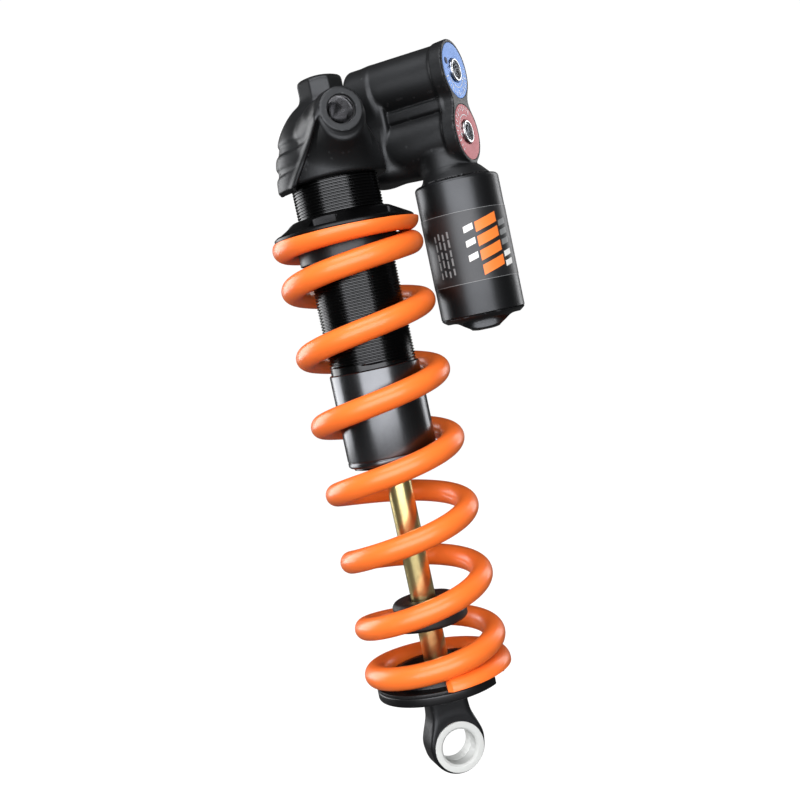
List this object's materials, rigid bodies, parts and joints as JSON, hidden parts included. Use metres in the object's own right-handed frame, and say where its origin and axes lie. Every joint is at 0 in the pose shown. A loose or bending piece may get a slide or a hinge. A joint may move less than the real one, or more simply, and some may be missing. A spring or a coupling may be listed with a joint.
{
  "type": "rear shock",
  "caption": "Coil-over bicycle rear shock with a trunnion head, a piggyback reservoir, twin valve towers, an adjustable coil spring and a sliding shaft with a lower eyelet.",
  "frame": {"origin": "centre of the lower eye bore, midway across the eyelet", "axes": "+Z along the damper axis from the lower eye to the trunnion axis; Y along the axes of both mounting bolts, with the dial side at -Y; +X towards the reservoir"},
  "size_m": [0.0867, 0.0571, 0.2577],
  "materials": {
    "black_anodised": "satin black anodised casting, fine bead-blast grain",
    "black_threaded_body": "black anodised turned aluminium",
    "black_sleeve": "semi-gloss black anodised, turned",
    "black_collar": "black anodised, machined facets",
    "pilot_grey": "dark grey satin anodised",
    "orange_spring": "orange powder coat, semi-gloss",
    "gold_shaft": "polished gold-coloured coating",
    "bumper_black": "moulded black elastomer",
    "cup_black": "black moulded plastic",
    "perch_black": "black anodised plate",
    "eyelet_black": "black anodised, forged and machined",
    "bushing_white": "off-white bearing polymer",
    "reservoir_black": "satin black anodised can",
    "decal_film": "printed film with an abstract orange and white mark, no lettering",
    "cap_blue": "blue anodised dial with engraved ticks",
    "cap_red": "red anodised dial with engraved ticks",
    "adjuster_silver": "bright machined aluminium",
    "adjuster_dark": "dark steel hex screw",
    "steel_parts": "ground steel",
    "bare_aluminium": "machined bare aluminium",
    "brass_seats": "turned brass",
    "seal_black": "black nitrile",
    "bearing_band": "filled polymer bearing liner"
  },
  "bodies": {
    "damper": {"head_casting": "black_anodised", "damper_body": "black_threaded_body", "body_sleeve": "black_sleeve", "inner_tube": "bare_aluminium", "body_o_ring": "seal_black", "seal_head": "black_threaded_body", "seal_head_o_ring": "seal_black", "shaft_bushing": "bearing_band", "shaft_oil_seal": "seal_black", "shaft_wiper": "seal_black", "reservoir_can": "reservoir_black", "reservoir_o_ring": "seal_black", "reservoir_end_cap": "reservoir_black", "end_cap_o_ring": "seal_black", "gas_fill_screw": "steel_parts", "reservoir_decal": "decal_film", "compression_valve_cap": "cap_blue", "rebound_valve_cap": "cap_red", "compression_valve_seat": "brass_seats", "rebound_valve_seat": "brass_seats", "valve_cap_o_rings": "seal_black", "coil_spring": "orange_spring"},
    "lower_perch": {"spring_retainer": "perch_black", "retainer_base": "perch_black"},
    "shaft": {"damper_shaft": "gold_shaft", "top_out_bumper": "bumper_black", "rebound_shims": "steel_parts", "piston": "bare_aluminium", "piston_band": "bearing_band", "compression_shims": "steel_parts", "piston_nut": "steel_parts", "lower_eyelet": "eyelet_black", "bushing_front": "bushing_white", "bushing_rear": "bushing_white"},
    "bump_stop": {"bumper": "bumper_black", "bumper_cup": "cup_black"},
    "floating_piston": {"floating_piston": "bare_aluminium", "floating_piston_seal": "seal_black"},
    "spring_pilot": {"spring_pilot_ring": "pilot_grey"},
    "preload_collar": {"preload_collar": "black_collar"},
    "high_speed_compression": {"hsc_adjuster": "adjuster_silver"},
    "high_speed_rebound": {"hsr_adjuster": "adjuster_silver"},
    "low_speed_compression": {"lsc_adjuster": "adjuster_dark"},
    "low_speed_rebound": {"lsr_adjuster": "adjuster_dark"},
    "compression_needle": {"lsc_needle": "steel_parts"},
    "rebound_needle": {"lsr_needle": "steel_parts"},
    "compression_poppet": {"compression_poppet": "steel_parts", "compression_poppet_spring": "steel_parts"},
    "rebound_poppet": {"rebound_poppet": "steel_parts", "rebound_poppet_spring": "steel_parts"}
  },
  "joints": [
    {"name": "shock_stroke", "type": "slide", "parent": "damper", "child": "lower_perch", "axis": [0, 0, 1], "range_m": [0, 0.07], "deforming": ["coil_spring"]},
    {"name": "eyelet_swivel", "type": "hinge", "parent": "lower_perch", "child": "shaft", "pos_m": [0, 0, 0.022], "axis": [0, 0, 1], "continuous": true},
    {"name": "bumper_slide", "type": "slide", "parent": "lower_perch", "child": "bump_stop", "axis": [0, 0, -1], "range_m": [0, 0.0189]},
    {"name": "floating_piston_slide", "type": "slide", "parent": "damper", "child": "floating_piston", "axis": [0, 0, -1], "range_m": [0, 0.0075]},
    {"name": "preload_slide", "type": "slide", "parent": "damper", "child": "spring_pilot", "axis": [0, 0, 1], "range_m": [0, 0.0091]},
    {"name": "preload_turn", "type": "hinge", "parent": "spring_pilot", "child": "preload_collar", "pos_m": [0, 0, 0.188], "axis": [0, 0, 1], "range_deg": [0, 3240]},
    {"name": "high_speed_compression_turn", "type": "hinge", "parent": "damper", "child": "high_speed_compression", "pos_m": [0.05077, -0.00577, 0.2364], "axis": [-0.7193, 0.6947, 0], "range_deg": [0, 720]},
    {"name": "low_speed_compression_turn", "type": "hinge", "parent": "damper", "child": "low_speed_compression", "pos_m": [0.05077, -0.00577, 0.2364], "axis": [-0.7193, 0.6947, 0], "range_deg": [0, 720]},
    {"name": "compression_needle_slide", "type": "slide", "parent": "damper", "child": "compression_needle", "axis": [-0.7193, 0.6947, 0], "range_m": [0, 0.001]},
    {"name": "compression_poppet_lift", "type": "slide", "parent": "damper", "child": "compression_poppet", "axis": [0.7193, -0.6947, 0], "range_m": [0, 0.001]},
    {"name": "high_speed_rebound_turn", "type": "hinge", "parent": "damper", "child": "high_speed_rebound", "pos_m": [0.05077, -0.00577, 0.2142], "axis": [-0.7193, 0.6947, 0], "range_deg": [0, 720]},
    {"name": "low_speed_rebound_turn", "type": "hinge", "parent": "damper", "child": "low_speed_rebound", "pos_m": [0.05077, -0.00577, 0.2142], "axis": [-0.7193, 0.6947, 0], "range_deg": [0, 720]},
    {"name": "rebound_needle_slide", "type": "slide", "parent": "damper", "child": "rebound_needle", "axis": [-0.7193, 0.6947, 0], "range_m": [0, 0.001]},
    {"name": "rebound_poppet_lift", "type": "slide", "parent": "damper", "child": "rebound_poppet", "axis": [0.7193, -0.6947, 0], "range_m": [0, 0.001]}
  ],
  "couplings": [
    {"joint": "bumper_slide", "follows": "shock_stroke", "ratio": 0.2686},
    {"joint": "floating_piston_slide", "follows": "shock_stroke", "ratio": 0.1063},
    {"joint": "preload_slide", "follows": "preload_turn", "m_per_rad": 0.00015915},
    {"joint": "low_speed_compression_turn", "follows": "compression_needle_slide", "rad_per_m": 12566},
    {"joint": "low_speed_rebound_turn", "follows": "rebound_needle_slide", "rad_per_m": 12566}
  ]
}
